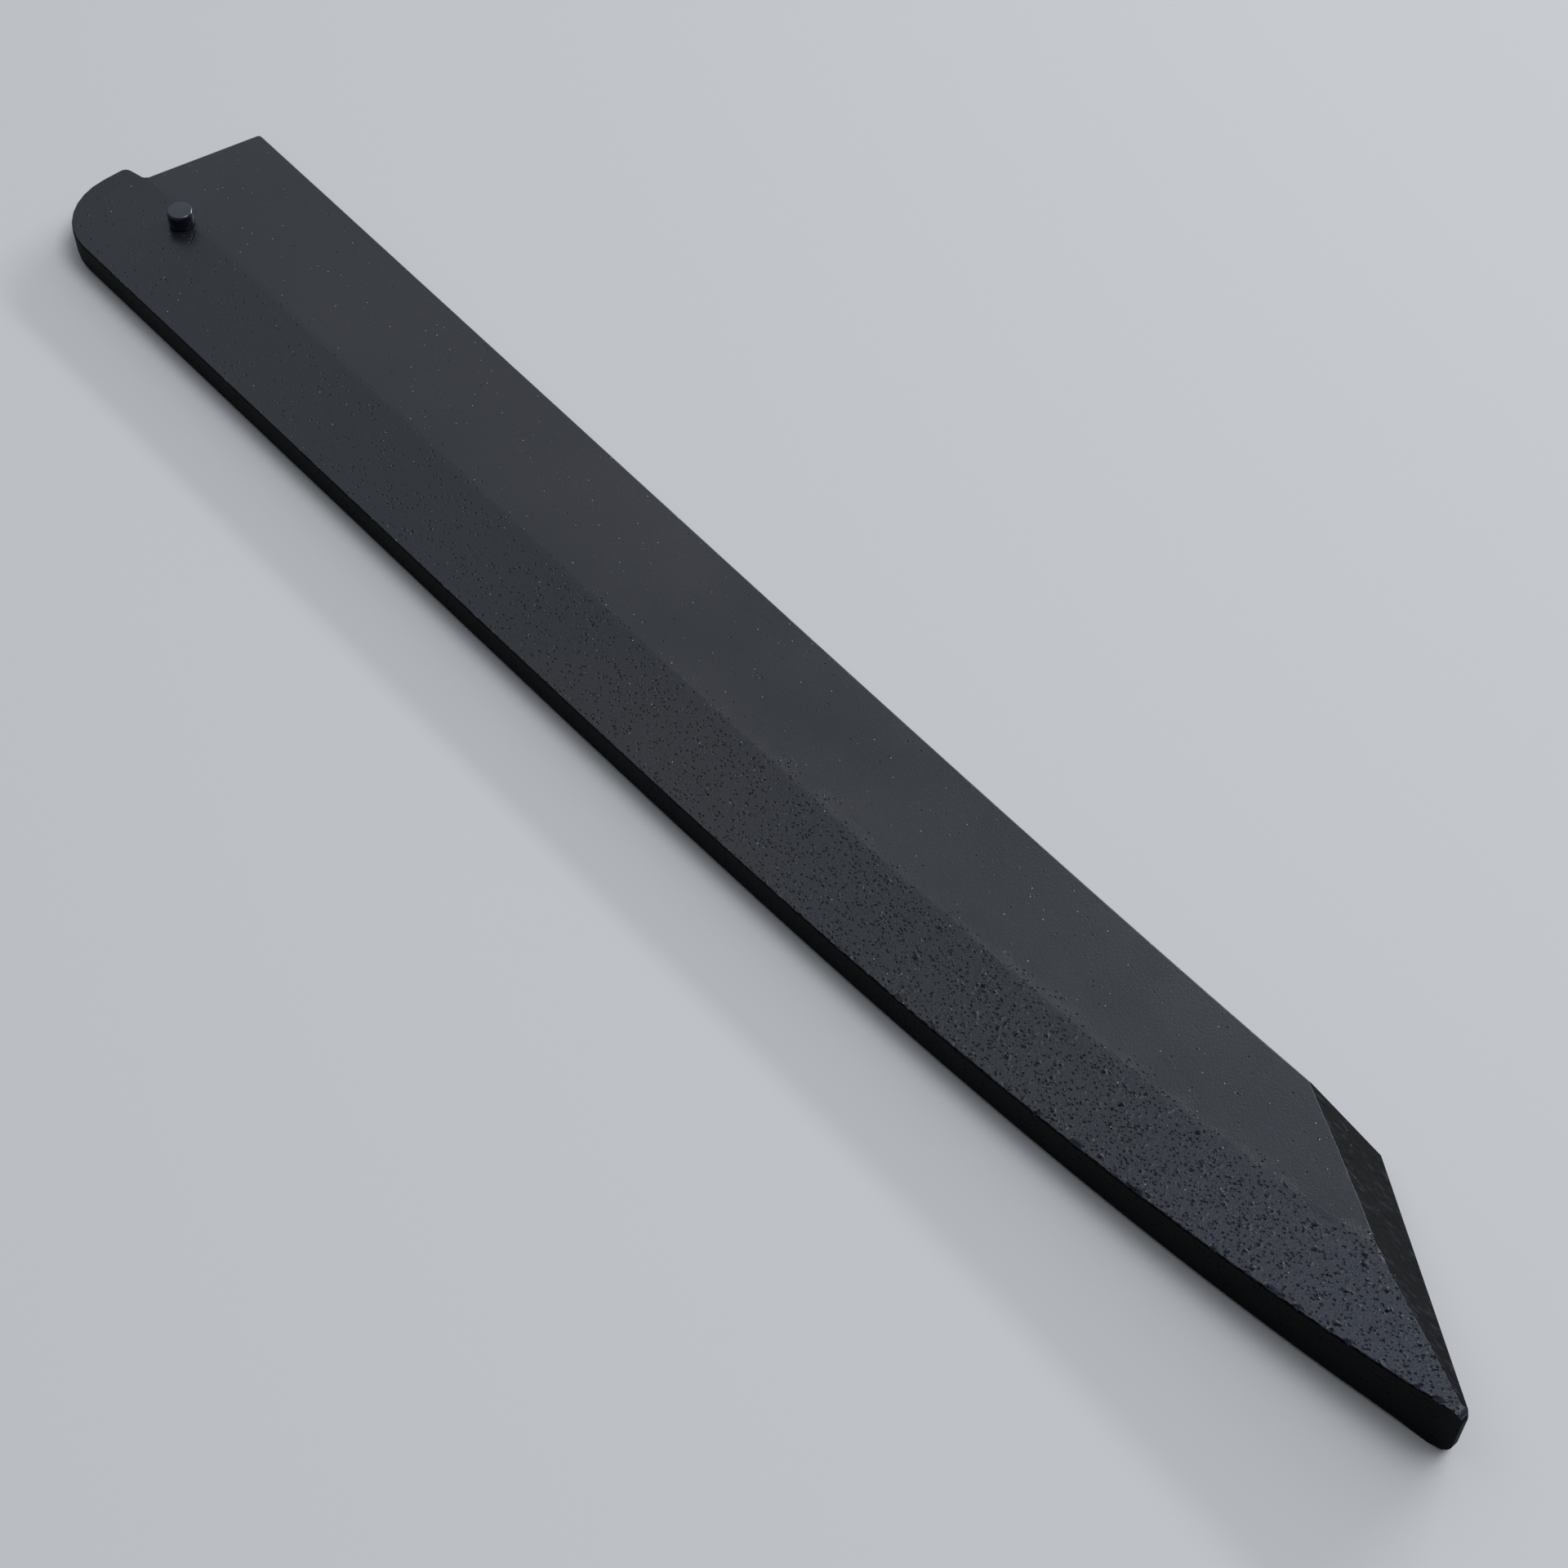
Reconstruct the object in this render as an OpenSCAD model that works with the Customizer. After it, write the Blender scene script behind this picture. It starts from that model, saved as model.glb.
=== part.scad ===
// Bone folder: a one-piece bar with a flat along its spine and a shallow facet falling to the edge,
// cut to a slanting, bevelled point, with a small round peg standing near the butt.
// It lies on z = 0, with the origin under the middle of its overall length and width;
// +X runs to the point, +Y across from the spine to the edge, +Z up.

/* [Body] */
// Overall length, butt to point
body_l = 171; // [140:1:210]
// Width across the butt
butt_w = 22.8; // [18:0.1:28]
// Width where the bevel starts, from the line of the straight spine
nose_w = 19.6; // [17:0.1:24]
// Thickness of the spine at the butt
butt_t = 3.2; // [2.6:0.1:4.5]
// Rise of the top for each millimetre of length
rise = 0.0014; // [0:0.0002:0.01]

/* [Curve towards the point] */
// Length of the curved stretch, measured back from the point
curve_l = 128; // [100:1:138]
// How far the spine has curved in at the point
curve_in = 5.9; // [3:0.1:8]
// How far the top has swept up at the point
curve_up = 2.9; // [1:0.1:4]

/* [Facet] */
// Width of the flat beside the spine, at the butt
flat_w_butt = 9.95; // [8:0.05:12]
// Width of the flat beside the spine, at the point
flat_w_point = 7.3; // [5:0.05:9]
// Slope of the facet that falls from the flat to the edge, in degrees
facet_a = 9; // [3:0.5:10]

/* [Point] */
// Length of the bevel, measured back from the point
bevel_l = 26.4; // [22:0.2:32]
// Length of the slanting cut, measured back from the point
cut_l = 18.7; // [15:0.1:21]
// Slope of the bevel, in degrees
bevel_a = 29.5; // [26:0.5:36]
// Direction in which the bevel falls, in degrees from the body's length
bevel_turn = 74.5; // [70:0.5:78]
// Width of the point's blunt end
point_w = 0.6; // [0.3:0.1:1.2]
// Rounding of the point's upper corner
point_top_r = 0.9; // [0.4:0.1:1.6]
// Rounding of the point's lower corner
point_low_r = 1.6; // [0.6:0.1:2.2]

/* [Butt] */
// Radius of the spine's corner
corner_r = 6.6; // [2:0.1:7]
// Width of the longer half of the butt
tongue_w = 8.8; // [7.8:0.1:9.4]
// Distance by which the other half stops short, beside the tongue
step_l = 2.6; // [0.5:0.1:4]
// Distance by which it stops short at the edge
edge_step_l = 2.2; // [0.5:0.1:4]
// Radius in the root of the step
step_r = 0.8; // [0.3:0.1:1.2]

/* [Peg] */
// Diameter
peg_d = 2.5; // [2:0.1:3.5]
// Height above the flat
peg_proud = 1.7; // [1:0.1:4]
// Distance from the butt
peg_x = 10.2; // [8:0.1:20]
// Distance from the spine
peg_y = 8.85; // [6:0.05:12]
// Chamfer of the peg's two rims
peg_chamfer = 0.15; // [0.05:0.05:0.3]
// Diameter of the spigot that holds the peg
spigot_d = 1.8; // [1:0.1:1.9]
// Gap around the spigot, in diameter, for the film of glue
spigot_gap = 0.04; // [0.02:0.01:0.1]
// Metal left under the spigot's hole
hole_floor = 0.8; // [0.5:0.1:1.5]

/* [Hidden] */

ROUND = 64;              // sides of a circle
CURVE_STEPS = 24;        // straight steps in the long curve
CURVE_POWER = 4;         // how late the curve tightens: 2 is even, 4 is late
CORNER_STEPS = 8;        // straight steps in a rounded corner
SPARE = 5;               // length by which a cutting solid runs past what it cuts

curve_start = body_l - curve_l;
bevel_start = body_l - bevel_l;
cut_start = body_l - cut_l;
top_z = thickness(body_l);
// The shapes are worked out from this corner, where the lines of the spine and the butt meet
butt_corner = [-body_l / 2, -butt_w / 2, 0];
// The peg's rim rests on the highest part of the flat that it covers
peg_seat = thickness(peg_x + peg_d / 2);

// Offset from the straight line by which a curve has moved at x, when it reaches far at the point
function bow(x, reach) =
    x > curve_start ? reach * ((x - curve_start) / curve_l) ^ CURVE_POWER : 0;
// Thickness of the body along the flat
function thickness(x) = butt_t + rise * x + bow(x, curve_up);
// Line of the spine as seen from above
function spine_y(x) = bow(x, curve_in);
// Crease between the flat and the facet
function crease_y(x) = spine_y(x) + flat_w_butt + (flat_w_point - flat_w_butt) * x / body_l;
// Line of the edge as seen from above
function edge_y(x) = butt_w + (nose_w - butt_w) * (x - edge_step_l) / (bevel_start - edge_step_l);
// Height of the facet where it meets the edge
function edge_z(x) = thickness(x) - tan(facet_a) * (edge_y(x) - crease_y(x));

function steps(from, to, count) = [for (i = [0:count]) from + (to - from) * i / count];
function arc(cx, cy, r, from, to) =
    [for (a = steps(from, to, CORNER_STEPS)) [cx + r * cos(a), cy + r * sin(a)]];

curve_xs = steps(curve_start, body_l, CURVE_STEPS);

// Outline as seen from above: the spine's corner at the butt, the spine, the point, the edge, the step
module outline() {
    polygon(concat(
        arc(corner_r, corner_r, corner_r, 180, 270),
        [for (x = curve_xs) [x, spine_y(x)]],
        [[body_l, spine_y(body_l) + point_w],
         [cut_start, edge_y(cut_start)],
         [edge_step_l, edge_y(edge_step_l)]],
        arc(step_l - step_r, tongue_w + 2 * step_r, step_r, 0, -90),
        [[0, tongue_w + step_r / 2]]
    ));
}

// Side view under the flat, with the point's two rounded corners
module flat_profile() {
    top_r_x = body_l - point_top_r;
    polygon(concat(
        [[-SPARE, 0], [-SPARE, thickness(0)], [0, thickness(0)]],
        [for (x = curve_xs) if (x < top_r_x) [x, thickness(x)]],
        arc(top_r_x, thickness(top_r_x) - point_top_r, point_top_r, 90, 0),
        arc(body_l - point_low_r, point_low_r, point_low_r, 0, -90)
    ));
}

// Side view under the facet, for a solid that is then turned down by the facet's slope
module facet_profile() {
    polygon(concat(
        [[-SPARE, -SPARE]],
        [for (x = concat([-SPARE, 0], curve_xs, [body_l + SPARE]))
            [x, thickness(x) * cos(facet_a) + crease_y(x) * sin(facet_a)]],
        [[body_l + SPARE, -SPARE]]
    ));
}

// Stands a side view up and stretches it across the body
module across() {
    translate([0, butt_w + SPARE, 0])
        rotate([90, 0, 0])
            linear_extrude(butt_w + 2 * SPARE)
                children();
}

// Everything above the bevel
module bevel_cut() {
    size = 2 * body_l;
    translate([bevel_start, edge_y(bevel_start), edge_z(bevel_start)])
        rotate([0, bevel_a, bevel_turn])
            translate([-size / 2, -size / 2, 0])
                cube([size, size, size]);
}

module folder_body() {
    color([0.13, 0.14, 0.16])
        translate(butt_corner)
            difference() {
                intersection() {
                    linear_extrude(2 * top_z) outline();
                    across() flat_profile();
                    rotate([-facet_a, 0, 0]) across() facet_profile();
                }
                bevel_cut();
                translate([peg_x, peg_y, hole_floor])
                    cylinder(h = 2 * top_z, d = spigot_d + spigot_gap, $fn = ROUND);
            }
}

module peg() {
    peg_r = peg_d / 2;
    spigot_r = spigot_d / 2;
    peg_top = peg_seat + peg_proud;
    color([0.10, 0.11, 0.15])
        translate(butt_corner + [peg_x, peg_y, 0])
            rotate_extrude($fn = ROUND)
                polygon([
                    [0, hole_floor],
                    [spigot_r, hole_floor],
                    [spigot_r, peg_seat],
                    [peg_r - peg_chamfer, peg_seat],
                    [peg_r, peg_seat + peg_chamfer],
                    [peg_r, peg_top - peg_chamfer],
                    [peg_r - peg_chamfer, peg_top],
                    [0, peg_top]
                ]);
}

folder_body();
peg();
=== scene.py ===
import math
from bisect import bisect_left

import bmesh
import bpy
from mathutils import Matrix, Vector, noise


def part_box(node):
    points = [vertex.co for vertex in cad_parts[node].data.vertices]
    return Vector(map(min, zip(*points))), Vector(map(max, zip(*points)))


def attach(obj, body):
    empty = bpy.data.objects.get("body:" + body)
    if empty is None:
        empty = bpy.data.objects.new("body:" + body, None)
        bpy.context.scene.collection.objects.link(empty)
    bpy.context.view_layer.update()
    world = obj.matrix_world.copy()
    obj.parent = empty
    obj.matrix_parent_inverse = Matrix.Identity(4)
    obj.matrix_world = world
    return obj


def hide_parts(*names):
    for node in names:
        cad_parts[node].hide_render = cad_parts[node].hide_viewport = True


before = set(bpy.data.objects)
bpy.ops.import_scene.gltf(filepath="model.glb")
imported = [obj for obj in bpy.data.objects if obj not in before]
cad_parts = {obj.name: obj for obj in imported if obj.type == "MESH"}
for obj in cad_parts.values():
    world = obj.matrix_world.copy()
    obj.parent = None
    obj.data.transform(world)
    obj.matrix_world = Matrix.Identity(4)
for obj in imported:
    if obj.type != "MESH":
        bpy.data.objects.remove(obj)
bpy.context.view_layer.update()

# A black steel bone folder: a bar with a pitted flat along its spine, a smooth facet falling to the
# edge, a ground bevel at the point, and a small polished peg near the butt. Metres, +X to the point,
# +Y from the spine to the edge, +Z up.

MM = 0.001

noise.seed_set(1)  # unseeded, noise_vector would change from run to run

body_low, body_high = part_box("folder_body")
peg_low, peg_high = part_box("peg")
BUTT_X = body_low[0]
POINT_X = body_high[0]

# The bar's kinds of face, which are also its material slots
FACET, FLAT, BEVEL, SIDE = range(4)


# ---------------------------------------------------------------- shader helpers

class Nodes:
    """Short calls for adding and joining the nodes of one tree."""

    def __init__(self, tree):
        self.tree = tree

    def add(self, kind, **settings):
        node = self.tree.nodes.new(kind if kind.startswith("NodeGroup") else "ShaderNode" + kind)
        for key, value in settings.items():
            setattr(node, key, value)
        return node

    def put(self, socket, value):
        """Joins value to the socket if it is an output, or sets it as the socket's own value."""
        if isinstance(value, bpy.types.NodeSocket):
            self.tree.links.new(value, socket)
        elif value is not None:
            socket.default_value = value

    def math(self, operation, a, b=None, c=None):
        node = self.add("Math", operation=operation)
        for socket, value in zip(node.inputs, (a, b, c)):
            self.put(socket, value)
        return node.outputs[0]

    def ramp(self, value, low, high, to_low=0.0, to_high=1.0):
        """Value carried from low..high to to_low..to_high with soft ends."""
        node = self.add("MapRange", interpolation_type="SMOOTHSTEP")
        for socket, item in zip(node.inputs, (value, low, high, to_low, to_high)):
            self.put(socket, item)
        return node.outputs[0]

    def noise(self, vector, scale, detail=2.0, roughness=0.5):
        node = self.add("TexNoise")
        self.put(node.inputs["Vector"], vector)
        self.put(node.inputs["Scale"], scale)
        self.put(node.inputs["Detail"], detail)
        self.put(node.inputs["Roughness"], roughness)
        return node.outputs["Fac"]

    def cells(self, vector, scale):
        """The distance to the nearest of a scatter of points, and that point's own random numbers."""
        node = self.add("TexVoronoi")
        self.put(node.inputs["Vector"], vector)
        self.put(node.inputs["Scale"], scale)
        chances = self.add("SeparateColor")
        self.put(chances.inputs[0], node.outputs["Color"])
        return node.outputs["Distance"], chances.outputs

    def drift(self, vector, scale, reach):
        """A small offset that wanders from place to place."""
        node = self.add("TexNoise")
        self.put(node.inputs["Vector"], vector)
        self.put(node.inputs["Scale"], scale)
        centred = self.add("VectorMath", operation="MULTIPLY_ADD")
        self.put(centred.inputs[0], node.outputs["Color"])
        centred.inputs[1].default_value = (reach, reach, reach)
        centred.inputs[2].default_value = (-reach / 2, -reach / 2, -reach / 2)
        return centred.outputs[0]

    def axis(self, vector, name):
        """One of a vector's three numbers."""
        node = self.add("SeparateXYZ")
        self.put(node.inputs[0], vector)
        return node.outputs[name]

    def stretch(self, vector, scale, turn):
        """The vector scaled along its axes and turned about Z."""
        node = self.add("Mapping")
        self.put(node.inputs["Vector"], vector)
        node.inputs["Scale"].default_value = scale
        node.inputs["Rotation"].default_value = (0.0, 0.0, turn)
        return node.outputs[0]

    def mix(self, factor, a, b):
        node = self.add("Mix", data_type="RGBA")
        self.put(node.inputs["Factor"], factor)
        self.put(node.inputs["A"], a)
        self.put(node.inputs["B"], b)
        return node.outputs["Result"]


def new_group(name, inputs, outputs):
    """An empty shader group that takes Vector and the named numbers, and gives the named numbers."""
    group = bpy.data.node_groups.new(name, "ShaderNodeTree")
    group.interface.new_socket("Vector", in_out="INPUT", socket_type="NodeSocketVector")
    for label, value in inputs.items():
        socket = group.interface.new_socket(label, in_out="INPUT", socket_type="NodeSocketFloat")
        socket.default_value = value
    for label in outputs:
        group.interface.new_socket(label, in_out="OUTPUT", socket_type="NodeSocketFloat")
    n = Nodes(group)
    return group, n, n.add("NodeGroupInput").outputs, n.add("NodeGroupOutput").inputs


def grain_group():
    """Raised cast grains of two sizes and pits between them, over a fine grit; Amount is how many. The
    pits' mask also serves the top faces as painted shade.
    """
    group, n, source, sink = new_group(
        "cast grain", {"Grain size": 1.0, "Amount": 1.0}, ("Height", "Hollows and shade", "Grit"))
    grit = n.noise(source["Vector"], 6000.0, 4.0, 0.65)
    height = n.math("MULTIPLY", grit, 0.45)
    for scale, tall in ((2300.0, 1.3), (4300.0, 0.7)):
        distance, chances = n.cells(source["Vector"], n.math("DIVIDE", scale, source["Grain size"]))
        radius = n.math("MULTIPLY_ADD", chances[0], 0.22, 0.14)
        lump = n.ramp(distance, 0.05, radius, tall, 0.0)
        stands = n.math("LESS_THAN", chances[1], source["Amount"])
        height = n.math("MULTIPLY_ADD", lump, stands, height)
    warped = n.add("VectorMath", operation="ADD")
    n.put(warped.inputs[0], source["Vector"])
    n.put(warped.inputs[1], n.drift(source["Vector"], 2600.0, 0.22 * MM))
    distance, chances = n.cells(warped.outputs[0], n.math("DIVIDE", 2700.0, source["Grain size"]))
    sunk = n.math("LESS_THAN", chances[0], source["Amount"])
    hollows_and_shade = n.math("MULTIPLY", n.ramp(distance, 0.10, 0.36, 1.0, 0.0), sunk)
    n.put(sink["Height"], n.math("MULTIPLY_ADD", hollows_and_shade, -1.3, height))
    n.put(sink["Grit"], n.ramp(grit, 0.3, 0.7))
    n.put(sink["Hollows and shade"], hollows_and_shade)
    return group


def wear_group():
    """Handling marks and glints: broad smudges in the gloss, fine scratches, and a few specks that the
    top faces paint as bright glints.
    """
    group, n, source, sink = new_group(
        "handling wear and glints", {"Scratches": 0.5, "Specks": 0.5}, ("Smudge", "Scratch", "Speck"))
    broken = n.ramp(n.noise(source["Vector"], 160.0), 0.5, 0.62)
    lines = 0.0
    for turn, scale in ((0.15, 900.0), (-0.5, 700.0), (1.2, 800.0)):
        drawn = n.noise(n.stretch(source["Vector"], (0.03, 1.0, 1.0), turn), scale, 1.0)
        lines = n.math("MAXIMUM", lines, n.ramp(drawn, 0.69, 0.74))
    distance, chances = n.cells(source["Vector"], 1750.0)
    speck = n.math("MULTIPLY", n.ramp(distance, 0.04, 0.09, 1.0, 0.0), n.ramp(chances[0], 0.62, 0.97))
    n.put(sink["Smudge"], n.ramp(n.noise(source["Vector"], 70.0, 4.0, 0.6), 0.35, 0.7))
    n.put(sink["Scratch"], n.math("MULTIPLY", n.math("MULTIPLY", lines, broken), source["Scratches"]))
    n.put(sink["Speck"], n.math("MULTIPLY", speck, source["Specks"]))
    return group


def edge_group():
    """Small bare nicks along the rounded edges, with a rare larger chip; the top faces paint them
    bright enough to stand also as painted edge highlights.
    """
    group, n, source, sink = new_group("edge nicks and glints", {"Edge": 0.0, "Amount": 1.0}, ("Nick",))
    broken = n.ramp(n.noise(source["Vector"], 900.0, 3.0, 0.6), 0.56, 0.66)
    chipped = n.ramp(n.noise(source["Vector"], 240.0, 2.0, 0.5), 0.66, 0.70, 0.25, 1.0)
    nick = n.math("MULTIPLY", n.math("MULTIPLY", broken, chipped), source["Edge"])
    n.put(sink["Nick"], n.math("MULTIPLY", nick, source["Amount"]))
    return group


def spread_group():
    """How thickly grains lie: few near the butt, most at the point, fading past the crease."""
    group, n, source, sink = new_group("grain spread", {"Past crease": 0.0, "Most": 0.85}, ("Amount",))
    along = n.ramp(n.axis(source["Vector"], "X"), -70 * MM, 58 * MM, 0.14, 1.0)
    ragged = n.math("MULTIPLY_ADD", n.noise(source["Vector"], 350.0, 3.0, 0.6), 5.0, -2.5)
    before = n.ramp(n.math("ADD", source["Past crease"], ragged), -0.8, 1.6, 1.0, 0.04)
    n.put(sink["Amount"], n.math("MULTIPLY", n.math("MULTIPLY", along, source["Most"]), before))
    return group


GRAIN = grain_group()
WEAR_AND_GLINTS = wear_group()
EDGE_NICKS_AND_GLINTS = edge_group()
SPREAD = spread_group()


class Finish(Nodes):
    """One material, with Object coordinates and its Principled shader ready."""

    def __init__(self, name, **sockets):
        self.material = bpy.data.materials.new(name)
        self.material.use_nodes = True
        super().__init__(self.material.node_tree)
        self.shader = self.tree.nodes["Principled BSDF"]
        for key, value in sockets.items():
            self.shader.inputs[key.replace("_", " ")].default_value = value
        self.place = self.add("TexCoord").outputs["Object"]

    def effect(self, group, **inputs):
        node = self.add("Group")
        node.node_tree = group
        self.put(node.inputs["Vector"], self.place)
        for key, value in inputs.items():
            self.put(node.inputs[key.replace("_", " ")], value)
        return node.outputs

    def bump(self, height, distance, strength=1.0):
        node = self.add("Bump")
        node.inputs["Strength"].default_value = strength
        node.inputs["Distance"].default_value = distance
        self.put(node.inputs["Height"], height)
        return node.outputs[0]

    def attribute(self, name):
        return self.add("Attribute", attribute_name=name).outputs["Fac"]

    def wire(self, **sockets):
        for key, value in sockets.items():
            self.put(self.shader.inputs[key.replace("_", " ")], value)
        return self.material


def top_black(name, base, tinted, painted_light_at_point, roughness):
    """Satin black of a top face under its cast grains, with painted light near the point: a painted
    bluish reflection on the flat and painted shade on the facet.
    """
    f = Finish(name, IOR=1.5)
    spread = f.effect(SPREAD, Past_crease=f.attribute("past_crease"), Most=0.85)
    grain = f.effect(GRAIN, Grain_size=1.0, Amount=spread["Amount"])
    wear = f.effect(WEAR_AND_GLINTS, Scratches=0.35, Specks=1.0)
    worn = f.effect(EDGE_NICKS_AND_GLINTS, Edge=f.attribute("edge"), Amount=1.0)
    x = f.axis(f.place, "X")
    warmth = f.ramp(f.noise(f.place, 22.0, 3.0, 0.55), 0.28, 0.60)
    warmth = f.math("MULTIPLY", warmth, f.ramp(x, 0.0, 55 * MM, 1.0, 0.15))
    warmth = f.math("MULTIPLY", warmth, f.ramp(x, -60 * MM, 0.0, 0.6, 1.0))
    colour = f.mix(warmth, base, tinted)
    # Painted light towards the point: the flat turns to a painted bluish reflection, the facet darkens
    # as painted shade.
    colour = f.mix(f.ramp(x, 40 * MM, 80 * MM), colour, painted_light_at_point)
    colour = f.mix(f.math("MULTIPLY", grain["Grit"], 0.40), colour, (0.004, 0.0045, 0.006, 1))
    # Painted shade: the pits are darkened as if shadowed.
    colour = f.mix(grain["Hollows and shade"], colour, (0.003, 0.0035, 0.005, 1))
    # Painted highlight: the bright specks stand for small glints on the top faces.
    colour = f.mix(wear["Speck"], colour, (0.75, 0.78, 0.85, 1))
    # Bare nicks on the edges, painted bright and bluish on the top faces so that they also stand as
    # painted edge highlights.
    colour = f.mix(worn["Nick"], colour, (0.50, 0.53, 0.58, 1))
    gloss = f.ramp(wear["Smudge"], 0.0, 1.0, roughness - 0.03, roughness + 0.04)
    gloss = f.math("MULTIPLY_ADD", grain["Hollows and shade"], 0.45, gloss)
    gloss = f.math("MULTIPLY_ADD", wear["Scratch"], -0.12, gloss)
    height = f.math("MULTIPLY", grain["Height"], f.ramp(spread["Amount"], 0.05, 0.7, 0.9, 1.7))
    return f.wire(Base_Color=colour, Roughness=gloss, Normal=f.bump(height, 0.05 * MM))


def side_black():
    """Deep matte black of the cast sides and the underside."""
    f = Finish("matte_cast_black", IOR=1.4, Specular_IOR_Level=0.08)
    grain = f.effect(GRAIN, Grain_size=1.3, Amount=0.5)
    wear = f.effect(WEAR_AND_GLINTS, Scratches=0.2, Specks=0.4)
    colour = f.mix(wear["Smudge"], (0.0012, 0.0014, 0.0019, 1), (0.0030, 0.0034, 0.0045, 1))
    colour = f.mix(wear["Speck"], colour, (0.06, 0.06, 0.065, 1))
    worn = f.effect(EDGE_NICKS_AND_GLINTS, Edge=f.attribute("edge"), Amount=0.25)
    colour = f.mix(worn["Nick"], colour, (0.06, 0.065, 0.075, 1))
    gloss = f.ramp(grain["Hollows and shade"], 0.0, 1.0, 0.62, 0.8)
    return f.wire(Base_Color=colour, Roughness=gloss, Normal=f.bump(grain["Height"], 0.06 * MM, 0.9))


def bevel_ground():
    """Brownish grey of the ground bevel, with short strokes left by the stone."""
    f = Finish("ground_bevel", IOR=1.45, Specular_IOR_Level=0.12)
    strokes = f.noise(f.stretch(f.place, (0.25, 1.0, 1.0), 0.3), 3000.0, 4.0, 0.65)
    cut = f.ramp(f.noise(f.stretch(f.place, (0.2, 1.0, 1.0), 0.2), 2600.0, 1.0), 0.62, 0.7)
    wear = f.effect(WEAR_AND_GLINTS, Scratches=0.6, Specks=1.0)
    bright = f.ramp(strokes, 0.49, 0.66)
    colour = f.mix(bright, (0.0004, 0.0004, 0.0007, 1), (0.0300, 0.0280, 0.0325, 1))
    colour = f.mix(cut, colour, (0.004, 0.004, 0.005, 1))
    colour = f.mix(wear["Speck"], colour, (0.30, 0.30, 0.33, 1))
    worn = f.effect(EDGE_NICKS_AND_GLINTS, Edge=f.attribute("edge"), Amount=0.5)
    colour = f.mix(worn["Nick"], colour, (0.09, 0.09, 0.10, 1))
    height = f.math("SUBTRACT", f.math("MULTIPLY", strokes, 0.6), cut)
    gloss = f.ramp(strokes, 0.3, 0.7, 0.5, 0.66)
    return f.wire(Base_Color=colour, Roughness=gloss, Normal=f.bump(height, 0.06 * MM))


def peg_polished():
    """Polished blue-black of the peg, with a finely marked top."""
    f = Finish("polished_peg", IOR=1.75)
    wear = f.effect(WEAR_AND_GLINTS, Scratches=0.5, Specks=0.6)
    fine = f.noise(f.place, 6000.0, 3.0, 0.6)
    colour = f.mix(wear["Smudge"], (0.008, 0.010, 0.020, 1), (0.016, 0.019, 0.032, 1))
    colour = f.mix(f.math("MULTIPLY", f.ramp(fine, 0.5, 0.7), 0.5), colour, (0.03, 0.033, 0.045, 1))
    gloss = f.math("MULTIPLY_ADD", fine, 0.12, f.ramp(wear["Smudge"], 0.0, 1.0, 0.08, 0.14))
    return f.wire(Base_Color=colour, Roughness=gloss, Normal=f.bump(fine, 0.012 * MM, 0.6))


# ---------------------------------------------------------------- the bar

CURVE_START = BUTT_X + 43.0 * MM       # where the bar begins to curve
CREASE_START = peg_high[0] + 0.5 * MM  # the crease is left sharp beside the peg
BLUNT_START = POINT_X - 0.9 * MM       # edges that reach past here, at the blunt end, stay sharp
GRAIN_START = 8.0 * MM                 # cast grain is modelled from here to the point
SLICE = 0.105 * MM                     # spacing of the slices across the bar there
ROWS = 74                              # cuts along the flat there
EDGE_ROUND = 0.16 * MM                 # rounding of the upper edges
GROUND_ROUND = 0.07 * MM               # rounding of the edges round the ground bevel
CREASE_ROUND = 0.45 * MM               # softening of the crease
CORNER_ROUND = 0.60 * MM               # rounding of the butt's corners, seen from above
UNDER_ROUND = 0.50 * MM                # rounding of the edges it rests on
LEVEL = 0.01 * MM                      # corners lower than this are on the underside


def face_kind(face):
    """Which kind of face it is, told by the way it looks."""
    n = face.normal
    if n.z > 0.5 and n.y < 0.06:
        return FLAT
    if n.z > 0.9:
        return FACET
    if n.z > 0.5:
        return BEVEL
    return SIDE


def in_hole(vert):
    """Whether a corner belongs to the peg's hole."""
    middle = (Vector(peg_low) + Vector(peg_high)) / 2
    return (vert.co.xy - middle.xy).length < (peg_high[0] - peg_low[0]) / 2


def body_shell():
    """The CAD bar's surface joined back into whole faces, with the peg's hidden hole closed."""
    bm = bmesh.new()
    bm.from_mesh(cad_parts["folder_body"].data)
    bmesh.ops.remove_doubles(bm, verts=bm.verts, dist=0.01 * MM)
    hole = [face for face in bm.faces if all(in_hole(vert) for vert in face.verts)]
    bmesh.ops.delete(bm, geom=hole, context="FACES")
    bmesh.ops.holes_fill(bm, edges=[edge for edge in bm.edges if edge.is_boundary])
    bmesh.ops.recalc_face_normals(bm, faces=bm.faces)
    for face in bm.faces:
        face.material_index = face_kind(face)
    bmesh.ops.dissolve_limit(bm, angle_limit=math.radians(0.02), verts=bm.verts, edges=bm.edges,
                             delimit={"MATERIAL"})
    for kind in (FLAT, FACET):
        straight = [face for face in bm.faces if face.material_index == kind
                    and face.calc_center_median().x < CURVE_START]
        bmesh.ops.dissolve_faces(bm, faces=straight, use_verts=True)
    bmesh.ops.bisect_plane(bm, geom=[*bm.verts, *bm.edges, *bm.faces], dist=1e-8,
                           plane_co=(CREASE_START, 0, 0), plane_no=(1, 0, 0))
    return bm


def kinds(edge):
    """The kinds of the faces that meet at an edge."""
    return {face.material_index for face in edge.link_faces}


def sharper(edge, degrees):
    """Whether an edge's two faces turn by more than some degrees."""
    return edge.calc_face_angle(0.0) > math.radians(degrees)


def span(edge, axis):
    """How far apart an edge's ends are along one axis."""
    return abs(edge.verts[0].co[axis] - edge.verts[1].co[axis])


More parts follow.
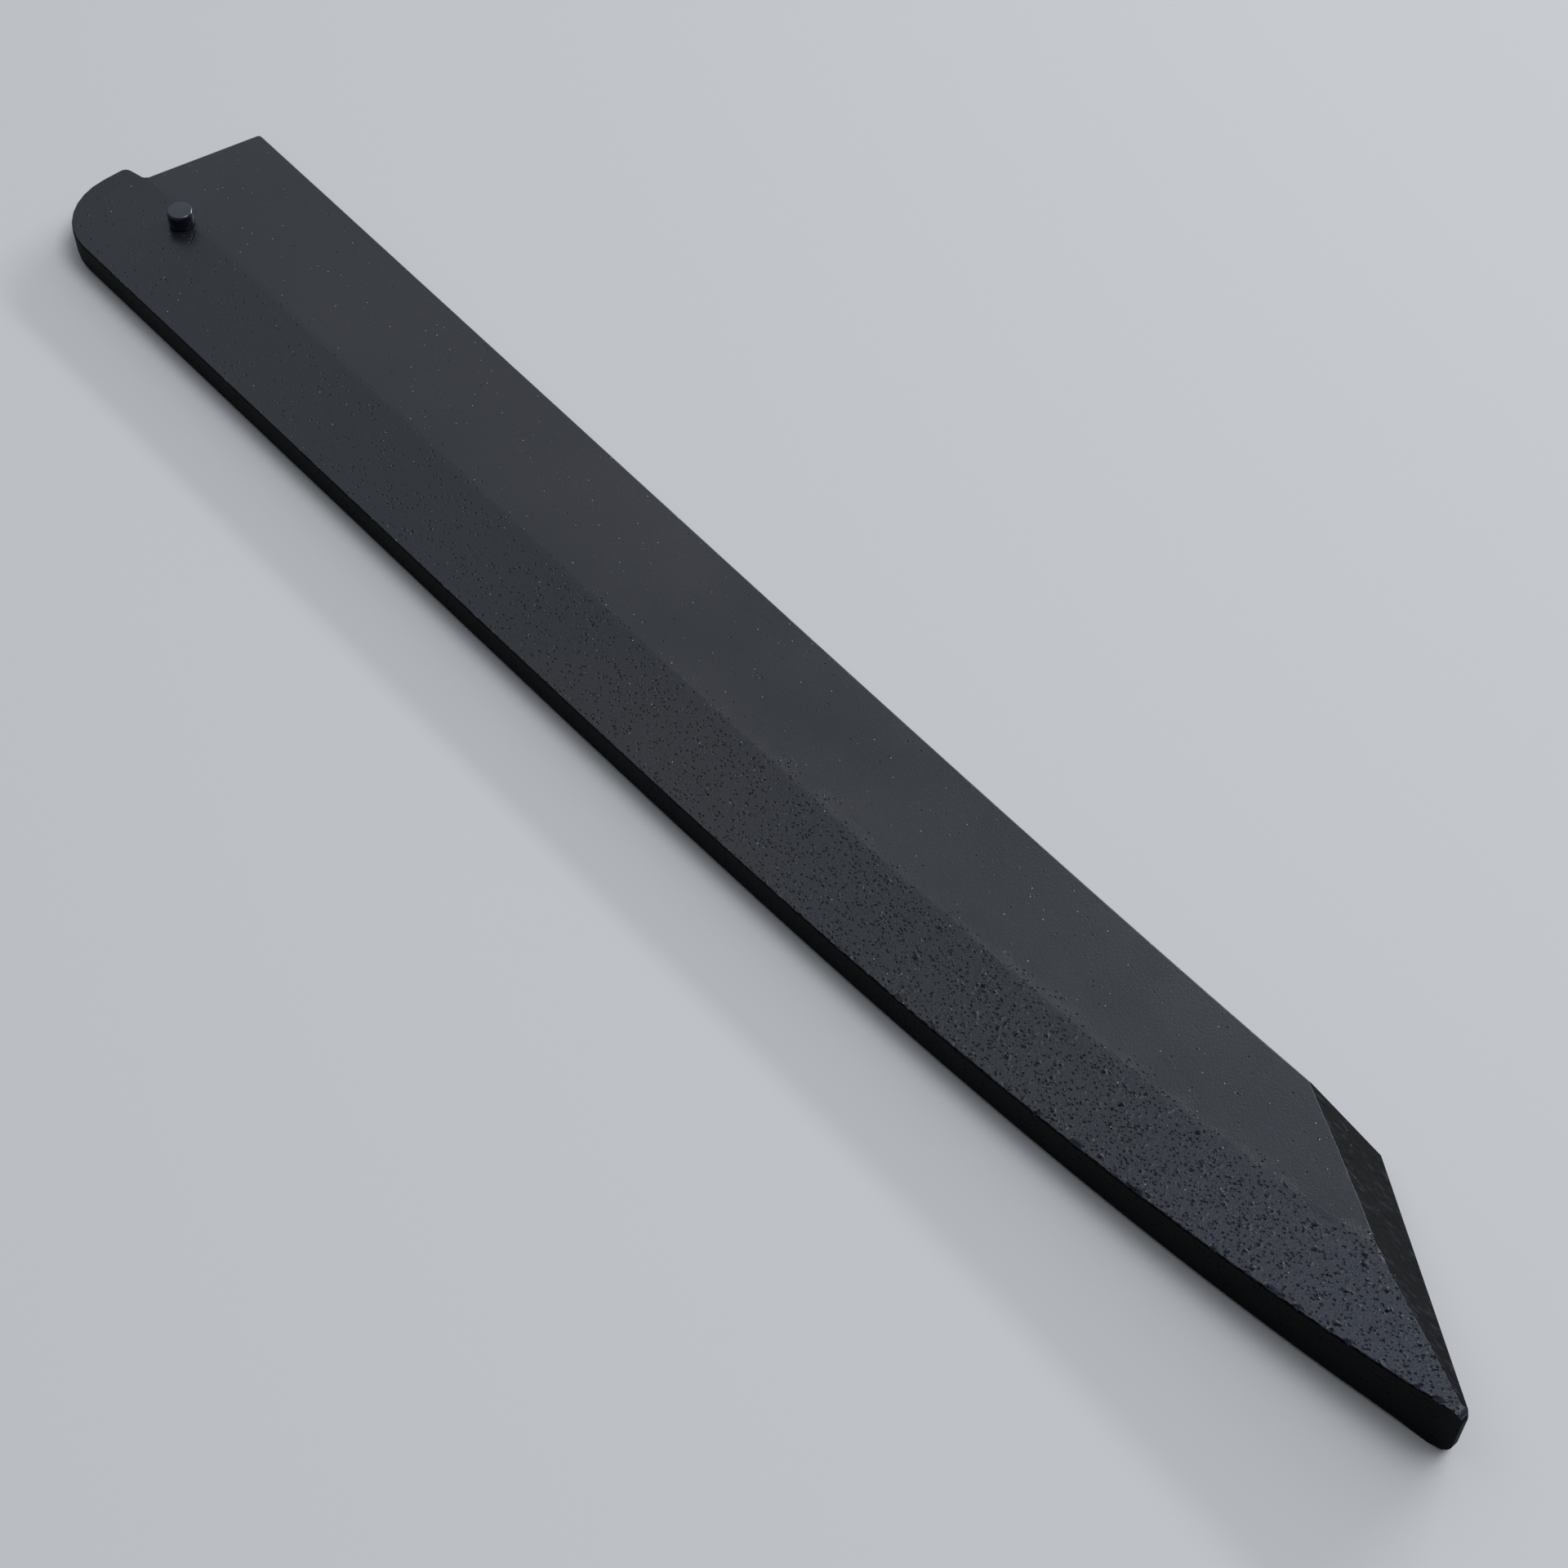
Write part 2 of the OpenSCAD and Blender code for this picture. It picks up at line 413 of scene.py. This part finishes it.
def reach(item):
    """The least and the greatest X of an edge's or a face's corners."""
    places = [vert.co.x for vert in item.verts]
    return min(places), max(places)


def line_of(edges):
    """The places of some edges' ends, in order along the bar."""
    return sorted({tuple(vert.co) for edge in edges for vert in edge.verts})


def y_on(line, x):
    """The line's Y at a given X."""
    i = min(max(bisect_left(line, (x,)), 1), len(line) - 1)
    (x0, y0, _), (x1, y1, _) = line[i - 1], line[i]
    return y0 + (y1 - y0) * min(max((x - x0) / max(x1 - x0, 1e-9), 0.0), 1.0)


def round_edges(bm):
    """Rounds the sharp edges, and marks the upper ones' faces 1 and the crease's and underside's 2."""
    rounding = bm.faces.layers.int.new("rounding")

    def bevel(edges, width, segments, mark):
        made = bmesh.ops.bevel(bm, geom=edges, offset=width, offset_type="OFFSET", segments=segments,
                               profile=0.5, affect="EDGES", clamp_overlap=False, material=-1)
        for face in made["faces"]:
            face[rounding] = mark

    crease = [edge for edge in bm.edges if kinds(edge) == {FLAT, FACET}
              and reach(edge)[0] > CREASE_START - 0.1 * MM]
    bevel(crease, CREASE_ROUND, 3, 2)
    corners = [edge for edge in bm.edges if sharper(edge, 40) and span(edge, 2) > 1.0 * MM
               and reach(edge)[1] < 0.0]
    bevel(corners, CORNER_ROUND, 4, 0)
    upper = [edge for edge in bm.edges if sharper(edge, 20) and BEVEL not in kinds(edge)
             and all(vert.co.z > LEVEL for vert in edge.verts)
             and span(edge, 2) < 1.0 * MM and reach(edge)[1] < BLUNT_START]
    bevel(upper, EDGE_ROUND, 3, 1)
    ground = [edge for edge in bm.edges if sharper(edge, 20) and BEVEL in kinds(edge)
              and len(kinds(edge)) == 2 and not any(face[rounding] for face in edge.link_faces)
              and reach(edge)[1] < BLUNT_START]
    bevel(ground, GROUND_ROUND, 2, 1)
    under = [edge for edge in bm.edges if sharper(edge, 20)
             and all(vert.co.z < LEVEL for vert in edge.verts)]
    bevel(under, UNDER_ROUND, 4, 2)


def slice_across(bm):
    """Cuts the bar into thin slices from where the modelled grain starts to the point."""
    joins = [edge for edge in bm.edges if kinds(edge) == {FLAT} and edge.calc_length() > 2 * MM
             and reach(edge)[0] > GRAIN_START and span(edge, 0) < 0.5 * edge.calc_length()]
    bmesh.ops.dissolve_edges(bm, edges=joins, use_verts=False)
    rest = [face for face in bm.faces if reach(face)[1] > GRAIN_START]
    x = GRAIN_START
    while x < POINT_X - SLICE:
        corners = dict.fromkeys(item for face in rest for item in (*face.verts, *face.edges))
        geom = [*corners, *rest]
        made = bmesh.ops.bisect_plane(bm, geom=geom, dist=1e-8, plane_co=(x, 0, 0), plane_no=(1, 0, 0))
        rest = [item for item in made["geom"] if isinstance(item, bmesh.types.BMFace)
                and item.calc_center_median().x > x]
        x += SLICE


def rows_along(bm):
    """Splits the flat's slices into rows, so that its grain can be modelled."""
    across = [edge for edge in bm.edges if kinds(edge) == {FLAT} and len(edge.link_faces) == 2
              and reach(edge)[0] > GRAIN_START - 0.5 * SLICE
              and span(edge, 0) < 0.2 * edge.calc_length() and edge.calc_length() > 0.6 * MM]
    bmesh.ops.subdivide_edges(bm, edges=across, cuts=ROWS, use_grid_fill=True)


def soft_step(value, low, high):
    """Carries value from low..high to 0..1 with soft ends."""
    t = min(max((value - low) / (high - low), 0.0), 1.0)
    return t * t * (3.0 - 2.0 * t)


def chance(point, seed):
    """A fixed random number from 0 to 1 for a place."""
    return noise.cell(point * 13.7 + Vector((seed, 0.37, 0.71))) * 0.5 + 0.5


def grain_height(x, y, amount):
    """Height in mm of the cast grains at a place in mm; more of them stand up as amount grows."""
    warp = noise.noise_vector(Vector((x, y, 0.0)) * 2.3) * 0.12
    height = 0.0
    # grain size and height in mm, the most that stand up, and the scatter's seed
    for size, tall, share, seed in ((0.74, 0.21, 0.50, 1.0), (0.48, 0.14, 0.70, 2.0)):
        place = (Vector((x, y, seed * 5.0)) + warp) / size
        place.z = seed
        distances, points = noise.voronoi(place)
        if chance(points[0], seed) < share * amount:
            radius = 0.15 + 0.20 * chance(points[0], seed + 7.0)
            height += tall * radius / 0.35 * soft_step(radius - distances[0], 0.0, 0.75 * radius)
    return height + 0.006 * noise.fractal(Vector((x, y, 4.0)) * 3.0, 0.6, 2.0, 3)


def raise_grain(bm, crease, spine):
    """Stands the cast grains up on the flat, more of them towards the point."""
    edges_of_flat = {vert for edge in bm.edges if len(kinds(edge)) > 1 for vert in edge.verts}
    flat = {vert for face in bm.faces if face.material_index == FLAT for vert in face.verts}
    for vert in flat - edges_of_flat:
        x, y = vert.co.x / MM, vert.co.y / MM
        if x <= GRAIN_START / MM or all(f.normal.z < 0.9 for f in vert.link_faces):
            continue
        inside = y - y_on(spine, vert.co.x) / MM
        before = y_on(crease, vert.co.x) / MM - y
        ragged = 0.8 * noise.noise(Vector((x, y, 9.0)) * 0.9)
        amount = soft_step(x, GRAIN_START / MM, 60.0) * soft_step(before + ragged, 0.1, 1.6)
        amount *= 0.35 + 0.65 * soft_step(inside + 0.3 * ragged, 0.3, 0.8)
        ends = soft_step(min(inside - 0.15, before), 0.0, 0.35) * soft_step(POINT_X / MM - x, 0.8, 1.4)
        vert.co.z += grain_height(x, y, amount) * ends * soft_step(x, GRAIN_START / MM, 20.0) * MM


def nick_edges(bm, spine):
    """Leaves the spine's upper edge uneven and notched, as cast, towards the point."""
    rounding = bm.faces.layers.int["rounding"]
    start, end = GRAIN_START / MM, POINT_X / MM - 1.5
    for vert in bm.verts:
        x, y, z = vert.co / MM
        inside = y - y_on(spine, vert.co.x) / MM
        if not start < x < end or inside > 0.6 or z < 2.8:
            continue
        rough = soft_step(x, start, start + 45.0)
        if all(face[rounding] == 1 for face in vert.link_faces):
            dent = noise.noise_vector(Vector((x * 2.2, y, 3.0))) * 0.10
            vert.co += Vector((0.0, dent.y + 0.05, dent.z - 0.05)) * rough * MM
        if vert.normal.z > 0.4:
            notch = soft_step(noise.noise(Vector((x * 1.2, 5.0, y * 0.6))), 0.18, 0.42)
            vert.co.z -= 0.24 * notch * rough * (1.0 - soft_step(inside, 0.05, 0.6)) * MM


def mark_surface(piece, crease):
    """Keeps how far each place lies past the crease, in mm, and where the rounded edges are."""
    mesh = piece.data
    past = mesh.attributes.new("past_crease", "FLOAT", "POINT")
    values = [(vert.co.y - y_on(crease, vert.co.x)) / MM for vert in mesh.vertices]
    past.data.foreach_set("value", values)
    touching = [True] * len(mesh.vertices)
    rounded = mesh.attributes["rounding"].data
    for polygon in mesh.polygons:
        if rounded[polygon.index].value != 1:
            for index in polygon.vertices:
                touching[index] = False
    edge = mesh.attributes.new("edge", "FLOAT", "POINT")
    edge.data.foreach_set("value", [float(on) for on in touching])


def bulge(line, axis, x):
    """How far the smooth curve through the line's places lies off its straight segments."""
    for i in range(1, len(line) - 2):
        x0, x1 = line[i][0], line[i + 1][0]
        if x0 <= x <= x1:
            a, b, c, d = (line[i + k][axis] for k in (-1, 0, 1, 2))
            t = (x - x0) / (x1 - x0)
            bend = (c - a) / 2 * t * (1 - t) ** 2 - (d - b) / 2 * t * t * (1 - t)
            return bend + (c - b) * (3 * t * t - 2 * t ** 3 - t)
    return 0.0


def true_curve(bm, spine):
    """Moves the sliced part from its straight segments onto one smooth curve."""
    moved = {}
    for vert in bm.verts:
        x = vert.co.x
        if x < CURVE_START:
            continue
        if x not in moved:
            moved[x] = (bulge(spine, 1, x), bulge(spine, 2, x), y_on(spine, x))
        aside, up, start = moved[x]
        vert.co.y += aside * (1.0 - (vert.co.y - start) / (body_high[1] - start))
        vert.co.z += up * vert.co.z / body_high[2]


def even_normals(mesh):
    """Shades rounded edges into the broad faces beside them, and leaves hard corners hard."""
    rounded = mesh.attributes["rounding"].data
    faces = [[] for _ in mesh.vertices]
    for polygon in mesh.polygons:
        weight = polygon.area * (1e-4 if rounded[polygon.index].value else 1.0)
        for index in polygon.vertices:
            faces[index].append((polygon.normal.copy(), weight))
    normals = []
    for polygon in mesh.polygons:
        for index in polygon.vertices:
            near = [n * w for n, w in faces[index] if n.dot(polygon.normal) > 0.80]
            normals.append(sum(near, Vector()).normalized())
    mesh.normals_split_custom_set(normals)


def mesh_object(name, bm, materials):
    """A smooth-shaded object at the origin, made of the bmesh."""
    mesh = bpy.data.meshes.new(name)
    bm.to_mesh(mesh)
    bm.free()
    for material in materials:
        mesh.materials.append(material)
    for polygon in mesh.polygons:
        polygon.use_smooth = True
    piece = bpy.data.objects.new(name, mesh)
    bpy.context.scene.collection.objects.link(piece)
    return piece


def folder_bar(materials):
    """The bar with its rounded edges, its curve, its raised grains and its notches."""
    bm = body_shell()
    crease = line_of(edge for edge in bm.edges if kinds(edge) == {FLAT, FACET})
    spine = line_of(edge for edge in bm.edges
                    if kinds(edge) == {FLAT, SIDE} and span(edge, 0) > 0.5 * MM
                    and all(v.co.y < y_on(crease, edge.verts[0].co.x) - 2 * MM for v in edge.verts))
    round_edges(bm)
    slice_across(bm)
    rows_along(bm)
    true_curve(bm, spine)
    raise_grain(bm, crease, spine)
    nick_edges(bm, spine)
    bmesh.ops.dissolve_degenerate(bm, dist=0.001 * MM, edges=bm.edges)
    piece = mesh_object("bar", bm, materials)
    mark_surface(piece, crease)
    even_normals(piece.data)
    return piece


# ---------------------------------------------------------------- the peg

PEG_PROUD = 1.7 * MM   # how far the peg stands out of the bar
PEG_RIM = 0.15 * MM    # width of its two slanted rims
RIM_ROUND = 0.05 * MM  # rounding of their corners
SPIGOT = 0.72          # the hidden spigot's radius as a share of the peg's


def turned_peg(material):
    """The peg's free end, turned from a profile with two small rounded rims."""
    radius = (peg_high[0] - peg_low[0]) / 2
    middle = Vector(((peg_low[0] + peg_high[0]) / 2, (peg_low[1] + peg_high[1]) / 2, 0))
    top = peg_high[2]
    foot = top - PEG_PROUD
    profile = [(0, top), (radius - PEG_RIM, top), (radius, top - PEG_RIM),
               (radius, foot + PEG_RIM), (radius - PEG_RIM, foot), (radius * SPIGOT, foot),
               (radius * SPIGOT, peg_low[2]), (0, peg_low[2])]
    bm = bmesh.new()
    verts = [bm.verts.new(middle + Vector((r, 0, z))) for r, z in profile]
    edges = [bm.edges.new(pair) for pair in zip(verts, verts[1:])]
    bmesh.ops.spin(bm, geom=verts + edges, cent=middle, axis=(0, 0, 1), angle=math.tau, steps=64,
                   use_merge=True)
    bmesh.ops.remove_doubles(bm, verts=bm.verts, dist=0.001 * MM)
    bmesh.ops.recalc_face_normals(bm, faces=bm.faces)
    rims = [edge for edge in bm.edges if sharper(edge, 30)]
    bmesh.ops.bevel(bm, geom=rims, offset=RIM_ROUND, offset_type="OFFSET", segments=2, profile=0.5,
                    affect="EDGES", clamp_overlap=True, material=-1)
    piece = mesh_object("turned_peg", bm, [material])
    shading = piece.modifiers.new("even shading", "WEIGHTED_NORMAL")
    shading.keep_sharp = True
    shading.weight = 60
    return piece


# ---------------------------------------------------------------- floor, light, camera

def floor():
    """A plain pale sheet for the bar to lie on."""
    bm = bmesh.new()
    bmesh.ops.create_grid(bm, x_segments=1, y_segments=1, size=12.0)
    f = Finish("pale_floor", Roughness=0.85)
    piece = mesh_object("floor", bm, [f.wire(Base_Color=(0.86, 0.83, 0.80, 1))])


def soft_light(name, place, size, power):
    """A cool rectangular lamp that shines at the middle of the bar."""
    light = bpy.data.lights.new(name, "AREA")
    light.shape = "RECTANGLE"
    light.size, light.size_y = size
    light.energy = power
    light.color = (0.88, 0.94, 1.0)
    lamp = bpy.data.objects.new(name, light)
    lamp.location = place
    lamp.rotation_euler = (-Vector(place)).to_track_quat("-Z", "Y").to_euler()
    bpy.context.scene.collection.objects.link(lamp)


def studio():
    """A sky that is brightest high behind the bar, with one low window and an overhead lamp."""
    world = bpy.data.worlds.new("studio")
    world.use_nodes = True
    n = Nodes(world.node_tree)
    toward = n.add("VectorMath", operation="DOT_PRODUCT")
    n.put(toward.inputs[0], n.add("TexCoord").outputs["Generated"])
    toward.inputs[1].default_value = (-0.30, 0.45, 0.84)
    background = n.tree.nodes["Background"]
    background.inputs["Color"].default_value = (0.80, 0.88, 1.0, 1)
    n.put(background.inputs["Strength"], n.ramp(toward.outputs["Value"], 0.25, 0.9, 0.05, 0.64))
    bpy.context.scene.world = world
    bpy.context.scene.view_settings.view_transform = "Standard"
    soft_light("low window", (-0.12, 0.82, 0.31), (0.55, 0.06), 2.4)
    soft_light("overhead", (0.25, 0.30, 0.95), (0.5, 0.5), 3.0)


def camera():
    """Looks down along the bar from beyond its point, on the spine's side."""
    data = bpy.data.cameras.new("camera")
    data.sensor_width = 36.0
    data.lens = 65.625
    data.clip_start = 0.005
    lens = bpy.data.objects.new("camera", data)
    lens.location = (0.11583, -0.09383, 0.19046)
    lens.rotation_euler = (math.radians(36.31), math.radians(0.13), math.radians(48.69))
    bpy.context.scene.collection.objects.link(lens)
    bpy.context.scene.camera = lens


camera()
studio()
floor()

# The third colour of each is painted light at the point: painted shade on the facet, a painted bluish
# reflection on the flat.
top_finishes = [
    top_black("satin_facet_black", (0.0120, 0.0135, 0.0185, 1), (0.0350, 0.0325, 0.0340, 1),
              (0.0020, 0.0040, 0.0100, 1), 0.31),
    top_black("grained_flat_black", (0.0150, 0.0170, 0.0220, 1), (0.0230, 0.0220, 0.0240, 1),
              (0.0260, 0.0290, 0.0440, 1), 0.24),
]
bar = folder_bar(top_finishes + [bevel_ground(), side_black()])
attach(bar, "root")
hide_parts("folder_body")

peg = turned_peg(peg_polished())
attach(peg, "root")
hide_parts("peg")
